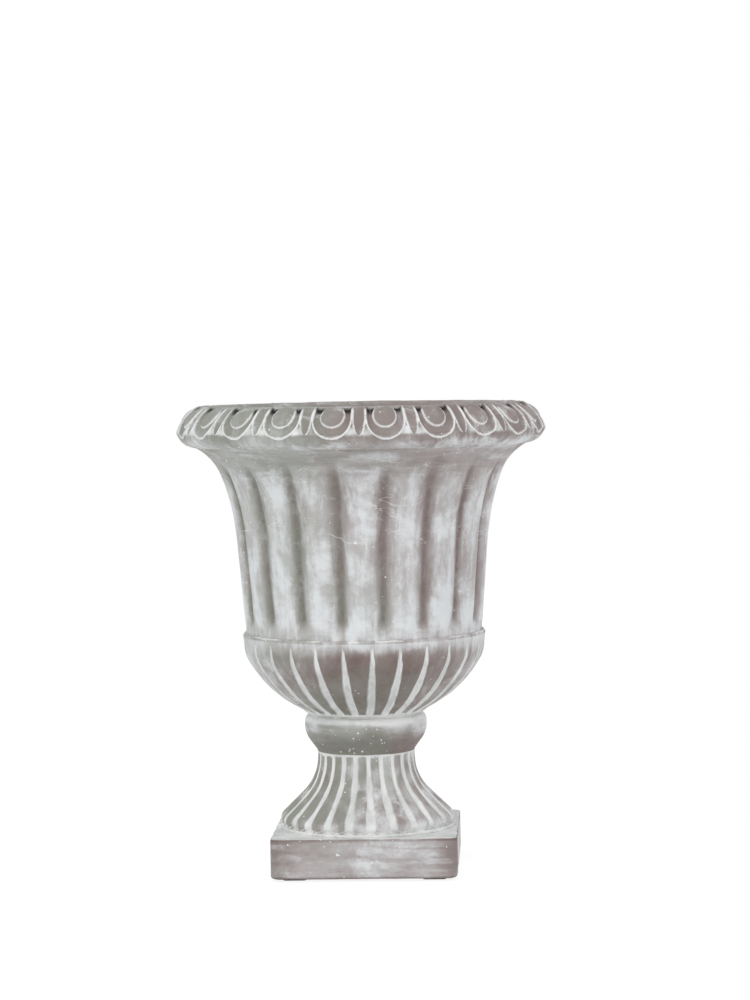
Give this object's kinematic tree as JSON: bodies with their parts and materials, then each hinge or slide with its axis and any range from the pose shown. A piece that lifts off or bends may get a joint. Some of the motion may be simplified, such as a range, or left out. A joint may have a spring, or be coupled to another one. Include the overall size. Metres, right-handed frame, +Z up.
{
  "type": "urn planter",
  "caption": "Classical cast-cement garden urn: bell-shaped lobed bowl with an egg-and-dart rim on a reeded pedestal with a square plinth, bolted together by a tie rod.",
  "frame": {"origin": "centre of the footprint, on the ground under the foot pads", "axes": "+Z up along the urn's axis; -Y out of the plinth's front face, +X to the right seen from the front"},
  "size_m": [0.3208, 0.3202, 0.4036],
  "materials": {
    "cement": "cast cement, brown-grey in the hollows, with a worn whitewash",
    "mortar": "matt white mortar",
    "zinc_steel": "zinc-plated, dulled",
    "black_rubber": "matt"
  },
  "bodies": {
    "root": {"bowl": "cement", "pedestal": "cement", "bedding_ring": "mortar", "tie_rod": "zinc_steel", "seal_washer": "black_rubber", "floor_washer": "zinc_steel", "upper_nut": "zinc_steel", "clamp_bar": "zinc_steel", "lower_washer": "zinc_steel", "lower_nut": "zinc_steel", "foot_pads": "black_rubber"}
  },
  "joints": []
}
